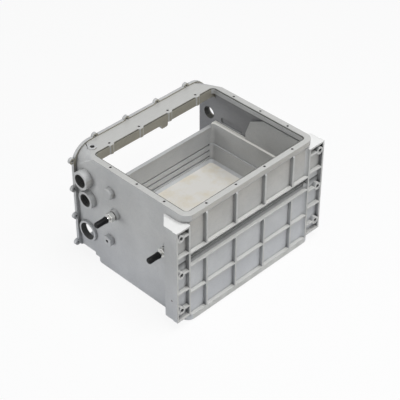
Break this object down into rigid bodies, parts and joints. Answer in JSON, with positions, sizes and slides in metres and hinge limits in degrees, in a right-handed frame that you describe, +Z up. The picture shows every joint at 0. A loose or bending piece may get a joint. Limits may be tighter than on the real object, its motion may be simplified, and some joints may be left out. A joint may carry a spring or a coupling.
{
  "type": "die cast housing",
  "caption": "Open-topped cast aluminium housing with a ribbed front, mounting ears, bolted rear flange, cable ports and capped hose nipples.",
  "frame": {"origin": "middle of the whole part's footprint, at the height of the surface that it stands on", "axes": "+X runs along the ribbed front, over the ears, with the ports and nipples on the -X side; +Y points from the ribbed front to the open back; +Z is up"},
  "size_m": [0.4236, 0.307, 0.2655],
  "materials": {
    "casting": "shot-blasted as cast, machined on the top and on the ears",
    "plated_steel": "zinc plated",
    "seal_washer": "matt",
    "soft_cap": "semi-matt"
  },
  "bodies": {
    "root": {"housing": "casting", "front_nipple": "plated_steel", "front_washer": "seal_washer", "front_cap": "soft_cap", "rear_nipple": "plated_steel", "rear_washer": "seal_washer", "rear_cap": "soft_cap"}
  },
  "joints": []
}
